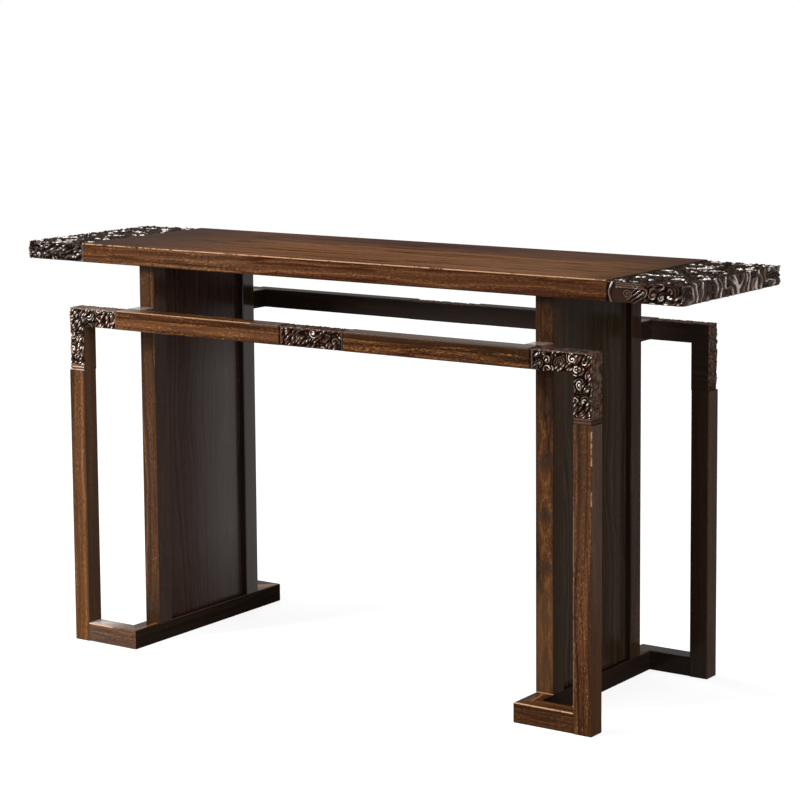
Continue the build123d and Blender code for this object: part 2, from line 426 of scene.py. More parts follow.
class CarversBlank:
    """A block's shell, finely squared where it's carved and flat where it isn't."""

    def __init__(self):
        self.corners = {}
        self.places = []
        self.spread = []
        self.faces = []
        self.fine_count = 0

    def corner(self, place, spread=(0.0, 0.0)):
        """The number of the corner at a place, which is made if it isn't there yet."""
        key = tuple(round(c, 7) for c in place)
        if key not in self.corners:
            self.corners[key] = len(self.places)
            self.places.append(key)
            self.spread.append(spread)
        return self.corners[key]

    def sheet(self, along, across, place, spread, keep=None):
        """A squared sheet. place and spread turn two steps into a point and its spot on the drawing."""
        for a0, a1 in zip(along, along[1:]):
            for b0, b1 in zip(across, across[1:]):
                if keep and not keep((a0 + a1) / 2, (b0 + b1) / 2):
                    continue
                ring = [(a0, b0), (a1, b0), (a1, b1), (a0, b1)]
                self.faces.append([self.corner(place(a, b), spread(a, b)) for a, b in ring])
        self.fine_count = len(self.faces)

    def flat(self, *outline):
        """One flat face whose edges take in the sheets' corners that lie along them."""
        fine = [Vector(place) for place in self.places]
        ring = []
        for start, end in zip(outline, outline[1:] + outline[:1]):
            start, end = Vector(start), Vector(end)
            run = (end - start).normalized()
            reach = (end - start).length
            ring.append(self.corner(start))
            on_edge = []
            for number, place in enumerate(fine):
                offset = place - start
                distance = offset.dot(run)
                beside = (offset - run * distance).length
                if SAME_PLACE < distance < reach - SAME_PLACE and beside < SAME_PLACE:
                    on_edge.append((distance, number))
            ring.extend(number for _, number in sorted(on_edge))
        self.faces.append(ring)

    def mesh(self, name, marks_at):
        """The shell as a mesh. marks_at gives the Marks of a place."""
        mesh = bpy.data.meshes.new(name)
        mesh.from_pydata(self.places, [], self.faces)
        shell = bmesh.new()
        shell.from_mesh(mesh)
        bmesh.ops.recalc_face_normals(shell, faces=shell.faces[:])
        for number, face in enumerate(shell.faces):
            face.smooth = number < self.fine_count
        for edge in shell.edges:
            edge.smooth = all(face.smooth for face in edge.link_faces)
        shell.to_mesh(mesh)
        shell.free()
        drawing = mesh.attributes.new("drawing", "FLOAT_VECTOR", "POINT")
        drawing.data.foreach_set("vector", [c for a, b in self.spread for c in (a, b, 0.0)])
        marks = [marks_at(*place) for place in self.places]
        for field in Marks._fields:
            mark = mesh.attributes.new(field, "FLOAT", "POINT")
            mark.data.foreach_set("value", [getattr(spot, field) for spot in marks])
        return mesh


def bead_border(distance, beads, set_back, bead_rub_and_glint=0.0):
    """The border at a block's end: beads with a sunk line after each, then the carving."""
    start = 0.0
    for _ in range(beads):
        if distance < start + BEAD:
            bow = math.sin(math.pi * (distance - start) / BEAD)
            return Marks(sunk=set_back + BEAD_FALL * (1.0 - bow), handled=bead_rub_and_glint * bow ** 3)
        if distance < start + BORDER:
            return Marks(sunk=QUIRK_DEPTH)
        start += BORDER
    rise = min(1.0, (distance - start) / FIRST_CUT)
    return Marks(carved_share=rise, sunk=QUIRK_DEPTH * (1.0 - rise), handled=rise)


def border_steps(start, direction, beads):
    """Close steps over a border's beads and sunk lines."""
    places = [0.0]
    for _ in range(beads):
        first = places[-1]
        places += [first + BEAD * part for part in (0.2, 0.4, 0.6, 0.8, 1.0)]
        places += [first + BEAD + QUIRK_SIDE, first + BEAD + QUIRK - QUIRK_SIDE, first + BEAD + QUIRK]
    return [start + direction * place for place in places]


def centre_block_mesh(side):
    """The middle block's blank, carved on its outer face and its top. side is -1 in front, 1 behind."""
    low, high = CENTRE_BLOCK
    half, back, outer, top, bottom = high.x, abs(high.y), abs(low.y), high.z, low.z

    def at(x, y, z):
        return x, side * y, z

    lengthwise = joined_steps(border_steps(-half, 1, 1), steps(-half + BORDER, half - BORDER, CUT_STEP),
                              border_steps(half, -1, 1))
    upright = steps(bottom, top, CUT_STEP)
    depthwise = steps(back, outer, CUT_STEP)
    blank = CarversBlank()
    blank.sheet(lengthwise, upright, lambda x, z: at(x, outer, z), lambda x, z: (x, z))
    blank.sheet(lengthwise, depthwise, lambda x, y: at(x, y, top), lambda x, y: (x, top + outer - y))
    for x in (-half, half):
        blank.flat(at(x, outer, bottom), at(x, outer, top), at(x, back, top), at(x, back, bottom))
    for (y0, z0), (y1, z1) in (((outer, bottom), (back, bottom)), ((back, bottom), (back, top))):
        blank.flat(at(-half, y0, z0), at(half, y0, z0), at(half, y1, z1), at(-half, y1, z1))

    def marks_at(x, y, z):
        marks = bead_border(half - abs(x), 1, RAIL_SET_BACK)
        if z > top - ON_FACE:
            return Marks(marks.carved_share * TOP_SHARE, min(marks.sunk, TOP_SUNK),
                         handled=marks.handled * CENTRE_TOP_RUB_AND_GLINT)
        return marks

    return blank.mesh("centre block", marks_at)


def corner_block_mesh(side, hand):
    """A corner block's blank, carved outside, on top and on its end. hand is -1 left, 1 right."""
    low, high = CORNER_BLOCK
    start, out, top, foot = low.x, high.x, high.z, low.z
    back, outer = abs(high.y), abs(low.y)
    inside, under = POST_IN, RAIL_FOOT

    def at(x, y, z):
        return hand * x, side * y, z

    lengthwise = joined_steps(border_steps(start, 1, 1), steps(start + BORDER, inside, CUT_STEP),
                              steps(inside, out, CUT_STEP))
    upright = joined_steps(border_steps(foot, 1, 2), steps(foot + 2 * BORDER, under, CUT_STEP),
                           steps(under, top, CUT_STEP))
    depthwise = steps(back, outer, CUT_STEP)
    blank = CarversBlank()
    blank.sheet(lengthwise, upright, lambda x, z: at(x, outer, z), lambda x, z: (x, z),
                keep=lambda x, z: x > inside or z > under)
    blank.sheet(lengthwise, depthwise, lambda x, y: at(x, y, top), lambda x, y: (x, top + outer - y))
    blank.sheet(depthwise, upright, lambda y, z: at(out, y, z), lambda y, z: (out + outer - y, z))
    profile = [(start, top), (start, under), (inside, under), (inside, foot), (out, foot), (out, top)]
    blank.flat(at(start, outer, under), at(start, outer, top),
               at(start, back, top), at(start, back, under))
    for (x0, z0), (x1, z1) in zip(profile[1:], profile[2:5]):
        blank.flat(at(x0, outer, z0), at(x1, outer, z1), at(x1, back, z1), at(x0, back, z0))
    blank.flat(*(at(x, back, z) for x, z in profile[1:] + profile[:1]))

    # A bead set further back is darker through the painted shade of depth; the left blocks' beads get pale
    # lines, painted highlights as much as wear
    if hand > 0:
        set_back, bead_rub_and_glint, top_rub_and_glint, broad = 0.003, 0.0, 0.05, 0.2
    else:
        set_back, bead_rub_and_glint, top_rub_and_glint, broad = 0.0008, 0.4, 0.15, 0.35

    def marks_at(x, y, z):
        rail = bead_border(abs(x) - start, 1, RAIL_SET_BACK)
        post = bead_border(z - foot, 2, set_back, bead_rub_and_glint)
        share = min(rail.carved_share, post.carved_share)
        sunk = max(rail.sunk, post.sunk)
        handled = min(rail.handled, post.handled)
        on_top = z > top - ON_FACE
        if on_top:
            sunk = min(sunk, TOP_SUNK)
        if abs(x) > out - ON_FACE:
            share, handled = share * END_SHARE, handled * END_RUB_AND_GLINT
        elif on_top:
            share, handled = share * TOP_SHARE, handled * top_rub_and_glint
        return Marks(share, sunk, handled=handled, broad=broad)

    return blank.mesh("corner block", marks_at)


def ridge(distance, half_width):
    """1 on a line, 0 a half width away, rounded between them."""
    return max(0.0, 1.0 - (distance / half_width) ** 2)


def lead_scroll(along, up):
    """The plain start of the right end piece's scroll: a cord, a boss with tails and a ribbon under the
    top edge. Gives its relief and how far it is painted pale as wear and glints."""
    cord = ridge(along - 0.009 - 0.0035 * math.sin(2 * math.pi * (up - 0.03) / 0.05), 0.0022)
    boss_along, boss_up, boss_radius = 0.043, 0.017, 0.0085
    from_boss = math.hypot(along - boss_along, up - boss_up)
    boss = 0.1
    crescent = 0.0
    if from_boss < boss_radius:
        boss = 0.15 + 0.6 * ridge(from_boss % 0.0042 - 0.0021, 0.0016)
    elif along > boss_along and up < 0.02:
        crescent = ridge(from_boss - 0.01, 0.0013)
    tails = 0.0
    if 0.052 < along < 0.08:
        slant = (along - 0.052) * (0.5 + 9.0 * up) - (up - 0.008)
        tails = ridge(slant % 0.0075 - 0.00375, 0.0011)
    ribbon = 0.0
    if along > 0.02 and up > 0.027:
        ribbon = 0.3 + 0.5 * ridge((up + 0.03 * along) % 0.0045 - 0.00225, 0.0018)
    relief = max(cord, boss, tails, ribbon, crescent)
    handled = max(cord, tails, crescent, ribbon - 0.45)
    return relief, handled


def end_piece_mesh(hand):
    """An end piece's blank: carved on its top, both long edges' faces and its end."""
    low, high = END_PIECE
    start, out, width, top, bottom = low.x, high.x, high.y, high.z, low.z

    def at(x, y, z):
        return hand * x, y, z

    lengthwise = steps(start, out, CAP_CUT_STEP)
    crosswise = steps(-width, width, CAP_CUT_STEP)
    upright = steps(bottom, top, CAP_CUT_STEP)
    blank = CarversBlank()
    blank.sheet(lengthwise, crosswise, lambda x, y: at(x, y, top), lambda x, y: (x, y))
    for side in (-1, 1):
        blank.sheet(lengthwise, upright, lambda x, z, side=side: at(x, side * width, z),
                    lambda x, z, side=side: (x, side * (width + top - z)))
    blank.sheet(crosswise, upright, lambda y, z: at(out, y, z), lambda y, z: (out + top - z, y))
    blank.flat(at(start, -width, bottom), at(out, -width, bottom), at(out, width, bottom),
               at(start, width, bottom))
    blank.flat(at(start, -width, bottom), at(start, -width, top), at(start, width, top),
               at(start, width, bottom))

    def marks_at(x, y, z):
        along = abs(x) - start
        rise = min(1.0, along / CAP_RISE)
        if abs(x) > out - ON_FACE:
            return Marks(carved_share=1.0, folded=1.0, handled=CAP_END_RUB_AND_GLINT)
        if z > top - ON_FACE:
            return Marks(rise, CAP_START * (1.0 - rise), handled=rise, broad=1.0)
        if hand > 0 and y < 0:
            rise = min(1.0, max(0.0, (along - LEAD_LENGTH) / CAP_RISE))
            relief, handled = lead_scroll(along, z - bottom)
            return Marks(rise, LEAD_DEPTH * (1.0 - relief) * (1.0 - rise), handled=max(rise, handled))
        reach_of_rub_and_glint = min(1.0, 0.25 + (out - abs(x)) / 0.05)
        return Marks(rise, CAP_START * (1.0 - rise), handled=rise * reach_of_rub_and_glint)

    return blank.mesh("end piece", marks_at)


# ---- Carving ----

# How the frames' blocks and the top's end pieces are carved. Sizes are in metres, Lean is in radians and
# Rub And Glint Scale is per metre
BLOCK_CUT = {
    "Ease": EDGE_EASE, "Scroll Size": 0.023, "Ribbon Pitch": 0.0062, "Leaf Width": 0.0054, "Lean": 0.9,
    "Fold Pitch": 0.034, "Cut Depth": 0.0055, "Wander": 0.008, "Rub And Glint Scale": 60.0, "Rub And Glint Share": 0.75,
    "Seed": 0.0,
}
CAP_CUT = {
    **BLOCK_CUT, "Scroll Size": 0.024, "Ribbon Pitch": 0.0068, "Leaf Width": 0.0068, "Cut Depth": 0.006,
    "Wander": 0.01, "Rub And Glint Scale": 32.0,
}


def flat_noise(spot, scale, out="Fac"):
    """A soft noise over a drawing."""
    return node(spot.tree, "ShaderNodeTexNoise", {"Vector": spot, "Scale": scale, "Detail": 1.0},
                noise_dimensions="2D")[out]


def cells_of(spot, scale, scatter, feature="F1"):
    """A drawing split into cells round scattered points."""
    sockets = {"Vector": spot, "Scale": scale, "Randomness": scatter}
    return node(spot.tree, "ShaderNodeTexVoronoi", sockets, voronoi_dimensions="2D", feature=feature)


def scroll_relief(spot, given):
    """Ribbons that curl round the middle of each cell, either way, and sink to its edge."""
    size = given["Scroll Size"]
    scale = 1.0 / size
    cells = cells_of(spot, scale, 0.85)
    to_edge = cells_of(spot, scale, 0.85, "DISTANCE_TO_EDGE")["Distance"] * size
    chance = parts(cells["Color"])
    arm = vector_maths("SUBTRACT", spot, cells["Position"])
    arm_parts = parts(arm)
    reach = length(arm)
    angle = sum_node(spot.tree, "ARCTAN2", arm_parts["Y"], arm_parts["X"])
    hand = (chance["X"] > 0.5) * 2.0 - 1.0
    pitch = given["Ribbon Pitch"] * lerp(chance["Z"], 0.85, 1.25)
    turns = reach / pitch + hand * angle / (2 * math.pi) + chance["Y"]
    crest = abs(wave(turns * math.pi)) ** 1.7
    eye = 1.0 - between(reach, pitch * 0.15, pitch * 0.42)
    dome = lerp(between(reach, 0.0, size * 0.6), 1.0, 0.7)
    level = dome * lerp(chance["Y"], 0.7, 1.0)
    return level * lerp(larger(crest, eye), 0.12, 1.0) * between(to_edge, 0.0002, 0.0026)


def leaf_relief(spot, given):
    """Slender leaves that lean, each ridged along its middle."""
    spot = node(spot.tree, "ShaderNodeVectorRotate", {"Vector": spot, "Angle": 0.0 - given["Lean"]},
                rotation_type="Z_AXIS")[0]
    spot = vector_maths("MULTIPLY", spot, (0.36, 1.0, 1.0))
    leaves = cells_of(spot, 1.0 / given["Leaf Width"], 0.9)
    chance = parts(leaves["Color"])["X"]
    return (1.0 - between(leaves["Distance"], 0.0, 0.66, smooth=False)) * lerp(chance, 0.8, 1.0)


def fold_relief(spot, given):
    """Long flowing folds, wide ones with narrow ones between them."""
    bend = flat_noise(spot, 17.0)
    folds = parts(spot)["Y"] / given["Fold Pitch"] + bend * 4.0
    wide = abs(wave(folds * math.pi)) ** 12.0
    narrow = abs(wave(folds * 2.4 * math.pi + bend * 9.0)) ** 8.0
    return 0.25 + larger(wide, narrow * 0.6) * 0.75


def carving_tree():
    """Geometry Nodes that cut cloud scrolls into a blank, inwards from its eased edges."""
    tree = bpy.data.node_groups.new("cloud scroll carving", "GeometryNodeTree")
    kinds = {"Blank": "Geometry", "Core Low": "Vector", "Core High": "Vector",
             **dict.fromkeys(BLOCK_CUT, "Float"), "Finish": "Material", "Plain Finish": "Material"}
    for name, kind in kinds.items():
        tree.interface.new_socket(name=name, in_out="INPUT", socket_type="NodeSocket" + kind)
    tree.interface.new_socket(name="Carving", in_out="OUTPUT", socket_type="NodeSocketGeometry")
    given = node(tree, "NodeGroupInput")
    place = node(tree, "GeometryNodeInputPosition")[0]
    spot = node(tree, "GeometryNodeInputNamedAttribute", {"Name": "drawing"},
                data_type="FLOAT_VECTOR")[0]
    share, sunk, folded, reach_of_rub_and_glint, broad = (
        node(tree, "GeometryNodeInputNamedAttribute", {"Name": mark}, data_type="FLOAT")[0]
        for mark in Marks._fields)

    seed = given["Seed"]
    drift = node(tree, "ShaderNodeCombineXYZ", {0: seed * 0.37, 1: seed * 0.23, 2: 0.0})[0]
    spot = vector_maths("ADD", spot, drift)
    sway = vector_maths("SUBTRACT", flat_noise(spot, 38.0, "Color"), (0.5, 0.5, 0.5))
    spot = vector_maths("ADD", spot, scaled(sway, given["Wander"]))
    leafy = between(flat_noise(vector_maths("ADD", spot, (7.3, 1.9, 0.0)), 26.0), 0.44, 0.47)
    relief = lerp(leafy, scroll_relief(spot, given), leaf_relief(spot, given))
    relief = lerp(folded, relief, fold_relief(spot, given))

    depth = sunk + share * given["Cut Depth"] * (1.0 - relief)
    core = vector_maths("MAXIMUM", place, given["Core Low"])
    core = vector_maths("MINIMUM", core, given["Core High"])
    from_core = vector_maths("SUBTRACT", place, core)
    stand = length(from_core)
    eased = given["Ease"] + (stand - given["Ease"]) * 0.45
    cut = vector_maths("ADD", core, scaled(vector_maths("NORMALIZE", from_core), eased - depth))

    # hollow: the share of the cut depth, which the finish turns into painted shade
    hollow = depth / given["Cut Depth"]
    # Pale crest strokes: partly wear from hands, partly painted glints
    rub_and_glint_patches = flat_noise(vector_maths("MULTIPLY_ADD", spot, (0.75, 1.15, 1.0), (3.1, 5.7, 0.0)),
                         given["Rub And Glint Scale"])
    first_rub_and_glint = lerp(broad, lerp(given["Rub And Glint Share"], 0.66, 0.34), 0.585)
    proud = between(hollow, lerp(broad, 0.36, 0.66), lerp(broad, 0.14, 0.36))
    rub_and_glint = reach_of_rub_and_glint * between(rub_and_glint_patches, first_rub_and_glint, first_rub_and_glint + 0.08) * proud

    shell = given["Blank"]
    for name, value in (("hollow", hollow), ("rub_and_glint", rub_and_glint)):
        shell = node(tree, "GeometryNodeStoreNamedAttribute",
                     {"Geometry": shell, "Name": name, "Value": value},
                     data_type="FLOAT", domain="POINT")[0]
    off_core = stand > 0.0001
    shell = node(tree, "GeometryNodeSetPosition",
                 {"Geometry": shell, "Selection": off_core, "Position": cut})[0]
    shell = node(tree, "GeometryNodeRealizeInstances", {"Geometry": shell})[0]
    is_carved = node(tree, "GeometryNodeInputShadeSmooth")[0]
    shell = node(tree, "GeometryNodeSetMaterial",
                 {"Geometry": shell, "Material": given["Plain Finish"]})[0]
    shell = node(tree, "GeometryNodeSetMaterial",
                 {"Geometry": shell, "Selection": is_carved, "Material": given["Finish"]})[0]
    node(tree, "NodeGroupOutput", {"Carving": shell})
    return tree


def carve(node_name, mesh, tree, values):
    """A blank put through the carving tree and made a plain mesh that stands for its CAD block."""
    name = "carved_" + node_name
    blank = placed(name + "_blank", mesh)
    modifier = blank.modifiers.new("carving", "NODES")
    modifier.node_group = tree
    for item in tree.interface.items_tree:
        if item.name in values:
            modifier[item.identifier] = values[item.name]
    bpy.context.view_layer.update()
    evaluated = blank.evaluated_get(bpy.context.evaluated_depsgraph_get())
    carved_mesh = bpy.data.meshes.new_from_object(evaluated)
    carved_mesh.name = name
    bpy.data.objects.remove(blank)
    for used in ("drawing", *Marks._fields):
        found = carved_mesh.attributes.get(used)
        if found:
            carved_mesh.attributes.remove(found)
    piece = placed(name, carved_mesh)
    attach(piece, "root")
    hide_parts(node_name)


def core_of(node_name, hand, sides):
    """The box inside a block's eased edges: its top, its end toward hand and its faces toward sides."""
    low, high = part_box(node_name)
    left, right = EDGE_EASE * (hand < 0), EDGE_EASE * (hand > 0)
    front, rear = EDGE_EASE * (-1 in sides), EDGE_EASE * (1 in sides)
    return {
        "Core Low": (low.x + left, low.y + front, low.z),
        "Core High": (high.x - right, high.y - rear, high.z - EDGE_EASE),
    }


def carve_all(finishes, woods):
    """Every carved block of the table. Their uncarved faces keep the wood of their neighbours."""
    tree = carving_tree()
    ends = (("left", -1), ("right", 1))
    for row, side in (("front", -1), ("rear", 1)):
        name = f"{row}_centre_block"
        carve(name, centre_block_mesh(side), tree, {
            **BLOCK_CUT, **core_of(name, 0, (side,)), "Seed": 1.0 + side,
            "Finish": finishes["rear" if side > 0 else "right"],
            "Plain Finish": woods["rear_rail" if side > 0 else "front_rail_right"],
        })
        for end, hand in ends:
            name = f"{row}_corner_block_{end}"
            carve(name, corner_block_mesh(side, hand), tree, {
                **BLOCK_CUT, **core_of(name, hand, (side,)), "Seed": 5.0 + side + 2.0 * hand,
                "Lean": 0.9 * hand, "Rub And Glint Share": 0.95 if hand > 0 else 1.4,
                "Ribbon Pitch": 0.0054 if hand > 0 else 0.006,
                "Finish": finishes["rear" if side > 0 else end],
                "Plain Finish": woods["rear_rail" if side > 0 else "post"],
            })
    for end, hand in ends:
        name = f"top_end_{end}"
        carve(name, end_piece_mesh(hand), tree, {
            **CAP_CUT, **core_of(name, hand, (-1, 1)), "Seed": 11.0 + hand, "Lean": 0.35 * hand,
            "Rub And Glint Share": 0.55 if hand > 0 else 0.8, "Finish": finishes["ends"],
            "Plain Finish": woods["top_board"],
        })


# ---- The table's finishes ----

FRAME_TONES = ((0.016, 0.0065, 0.0028), (0.095, 0.036, 0.013), (0.36, 0.16, 0.05))
# Colours of painted light: a pale painted reflection and three painted shades
PAINTED_SHEEN = (0.5, 0.43, 0.39)
SHADED = (0.02, 0.01, 0.006)
DULL_SHADE = (0.03, 0.016, 0.009)
DEEP_SHADE = (0.015, 0.01, 0.008)
BLOCK_TONES = {"crest": (0.31, 0.2, 0.15), "face": (0.158, 0.096, 0.07), "shade": (0.067, 0.041, 0.03),
               "floor": (0.006, 0.004, 0.003)}
# The colours of the carving's pale crests: wear and painted glints
BLOCK_WEAR_AND_GLINT = {"wear_and_highlight": (0.95, 0.83, 0.75), "wear_and_highlight_top": (0.5, 0.42, 0.37)}


def carved_finishes():
    """The finishes of the carving, by where on the table it is."""
    return {
        "right": carved_finish("carved blocks", **BLOCK_TONES, **BLOCK_WEAR_AND_GLINT, ruddy=(1.2, 0.75, 0.6),
                               ruddy_share=0.5, painted_shade_top=0.88, painted_shade_ends=0.42),
        # The left blocks' tones are a lighter copy of the right's, as painted light, with golden patches
        # of their own tone
        "left": carved_finish("left carved blocks painted lighter", crest=(0.38, 0.25, 0.19), face=(0.2, 0.122, 0.088),
                              shade=(0.085, 0.052, 0.037), floor=(0.007, 0.005, 0.004), **BLOCK_WEAR_AND_GLINT,
                              ruddy=(1.45, 1.0, 0.6), ruddy_share=0.85, painted_shade_top=0.85, painted_shade_ends=0.42),
        "rear": carved_finish("rear carved blocks", **BLOCK_TONES, **BLOCK_WEAR_AND_GLINT, ruddy=(1.2, 0.8, 0.65),
                              ruddy_share=0.3, painted_shade_top=0.55, painted_shade_ends=0.5),
        "ends": carved_finish("carved end pieces", crest=(0.205, 0.162, 0.14), face=(0.102, 0.08, 0.068),
                              shade=(0.043, 0.032, 0.027), floor=(0.006, 0.0045, 0.0035),
                              ruddy=(1.2, 0.8, 0.65), ruddy_share=0.2, wear_and_highlight=(0.85, 0.77, 0.7),
                              wear_and_highlight_top=(0.52, 0.46, 0.42), brown_front=0.7, painted_shade_top=0.85, coat_ior=1.8),
    }


def frame_wood(way, grain, seed, **more):
    """The polished wood of the frames, feet and supports."""
    return rosewood("frame wood " + way, grain, *FRAME_TONES, seed=seed, **more)


def rail_woods():
    """The woods of the rails."""
    line_top, line_foot = RAIL_TOP - 0.0115, RAIL_TOP - 0.0145
    shade = (0.022, 0.015, 0.0125)
    return {
        "rear_rail": frame_wood(
            "of rear rails", "X", 5.0, coat=0.16,
            # Painted shade on the inner face, the top and the ends, and painted light in the middle of the
            # inner face
            stains=[("-Y", 0.92, shade), ("Z", 0.92, shade), ("X", 0.92, shade),
                    ("-Y", 0.75, (0.085, 0.062, 0.054), ("X", -0.4, 0.2), ("X", 0.6, 0.45))]),
        "front_rail_left": frame_wood(
            "of front left rail", "X", 0.0, coat=0.2, flecked=1.5, contrast=1.2,
            dark_above=(RAIL_TOP - 0.013, 0.55), dark_below=(RAIL_FOOT + 0.008, 0.45),
            # A painted reflection on the top near the left end, a painted shadow line under the upper
            # arris, a painted highlight strip along the top of the face and painted shade toward the
            # middle; the golden band is the wood's tone
            stains=[("Z", 0.6, PAINTED_SHEEN, ("X", -0.4, -0.66)),
                    ("Y", 0.25, (0.22, 0.092, 0.04), ("Z", line_foot, line_foot - 0.0015),
                     ("Z", RAIL_FOOT + 0.004, RAIL_FOOT + 0.012)),
                    ("Y", 0.75, (0.03, 0.01, 0.003), ("Z", line_foot - 0.001, line_foot),
                     ("Z", line_top + 0.001, line_top)),
                    ("Y", 0.5, (0.11, 0.08, 0.066), ("Z", RAIL_TOP - 0.007, RAIL_TOP - 0.004),
                     ("X", -0.17, -0.13)),
                    ("Y", 0.28, DULL_SHADE, ("X", -0.22, -0.13))],
            arrises=[(("Y", FRAME_FACE), ("Z", RAIL_TOP), ("X", -RAIL_END, -0.15), 0.1, 0.3),
                     (("Y", FRAME_FACE), ("Z", RAIL_FOOT), ("X", -RAIL_END, -0.36), 0.2, 0.2)]),
        "front_rail_right": frame_wood(
            "of front right rail", "X", 0.0, coat=1.0, coat_runs=[("X", 0.2, 0.7, 0.2, 0.5)],
            flecked=1.5, contrast=1.2, dark_above=(RAIL_TOP - 0.016, 0.8),
            dark_below=(RAIL_FOOT + 0.003, 0.65),
            # A painted highlight strip along the top of the face; the top and underside are greyed
            stains=[("Y", 0.5, (0.11, 0.085, 0.072), ("Z", RAIL_TOP - 0.005, RAIL_TOP - 0.002)),
                    ("Z", 0.4, (0.07, 0.055, 0.048))]),
    }


def post_woods():
    """The woods of the posts."""
    return {
        "rear_post": frame_wood(
            "of rear posts", "Z", 5.0, coat=0.1, coat_ior=1.5,
            # Painted shade on the inner face and the sides
            stains=[("-Y", 0.88, (0.028, 0.016, 0.011)), ("X", 0.8, (0.045, 0.028, 0.02))]),
        "post": frame_wood(
            "of posts", "Z", 2.0, coat=0.14, coat_runs=[("Z", 0.05, 0.4, 0.35, 1.0)], coat_ior=1.5,
            contrast=0.78, streak=0.4,
            # The sides darkened, more low down, as painted shade; the left post's side and lower front
            # painted lighter and the right post's upper front painted darker, as painted light; the pale
            # arrises are partly painted highlights
            stains=[("X", 0.65, (0.055, 0.033, 0.022)),
                    ("X", 0.45, (0.04, 0.02, 0.009), ("Z", 0.4, 0.05)),
                    ("X", 0.25, (0.114, 0.064, 0.043), ("X", 0.0, -0.5)),
                    ("Y", 0.13, (0.36, 0.16, 0.06), ("X", 0.0, -0.5), ("Z", 0.6, 0.1)),
                    ("X", 0.35, (0.075, 0.02, 0.0), ("X", 0.0, 0.5), ("Z", 0.35, 0.1)),
                    ("Y", 0.35, (0.02, 0.006, 0.002), ("X", 0.0, 0.5), ("Z", 0.35, 0.5))],
            arrises=[(("Y", FRAME_FACE), ("X", POST_OUT), ("Z", 0.51, 0.575), 0.3, 0.8),
                     (("Y", FRAME_FACE), ("X", POST_OUT), ("Z", 0.435, 0.462), 0.4, 0.6),
                     (("Y", FRAME_FACE), ("X", POST_IN), ("Z", 0.05, 0.45), 0.35, 0.35)]),
    }


def foot_woods():
    """The woods of the foot arms, the foot beams and the spacers."""
    # The rear feet and spacers darkened on their inner faces, tops and sides: painted shade
    rear_foot = frame_wood("of rear feet", "X", 5.0,
                           stains=[(way, 0.92, (0.017, 0.0115, 0.0095)) for way in ("-Y", "Z", "X")])
    woods = {
        "rear_foot": rear_foot,
        "rear_spacer": rear_foot,
        "foot_arm": frame_wood(
            "of foot arms", "X", 1.0, coat=1.0, coat_runs=[("X", -0.75, -0.3, 1.0, 0.03)], coat_ior=1.5,
            contrast=0.85, streak=0.45,
            # Painted shade on the right arm's front and a pale painted reflection on the left arm's top;
            # the pale arrises are partly painted highlights
            stains=[("Y", 0.3, SHADED, ("X", 0.1, 0.5)),
                    ("Z", 0.95, (0.72, 0.63, 0.57), ("X", -0.5, -0.64))],
            arrises=[(("Y", FRAME_FACE), ("Z", FOOT_TOP), ("X", 0.0, POST_IN + 0.002), 0.2, 0.8),
                     (("Y", FRAME_FACE), ("Z", FOOT_TOP), ("X", -POST_IN - 0.002, -0.535), 0.0, 0.9)]),
        # The spacer's top and underside painted pale, a painted reflection
        "spacer": frame_wood("of spacers", "Y", 4.0, coat=0.1, top_coat=0.6, coat_ior=1.5,
                             stains=[("Z", 0.5, (0.3, 0.25, 0.22))]),
    }
    beam_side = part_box("foot_beam_left")[1].x
    beams = (("left", 0.32, (0.26, 0.13, 0.06)), ("right", 0.1, (0.07, 0.05, 0.042)))
    for end, top_coat, rear_top_light in beams:
        woods["foot_beam_" + end] = frame_wood(
            f"of {end} foot beam", "Y", 4.0, coat=0.015, top_coat=top_coat, coat_ior=1.5,
            # Painted shade on the sides and on the top by the front stile, and painted light on the top
            # behind the rear stile, warmer on the left and darker on the right; the pale arris is partly a
            # painted highlight
            stains=[("X", 0.92, DEEP_SHADE), ("Z", 0.9, DEEP_SHADE, ("Y", -STILE_OUTER, 0.015 - STILE_OUTER)),
                    ("Z", 0.7, rear_top_light, ("Y", STILE_OUTER, 0.005 + STILE_OUTER))],
            arrises=[(("X", beam_side), ("Z", FOOT_TOP), ("Y", -STILE_OUTER, STILE_OUTER), 0.2, 0.06)])
    return woods


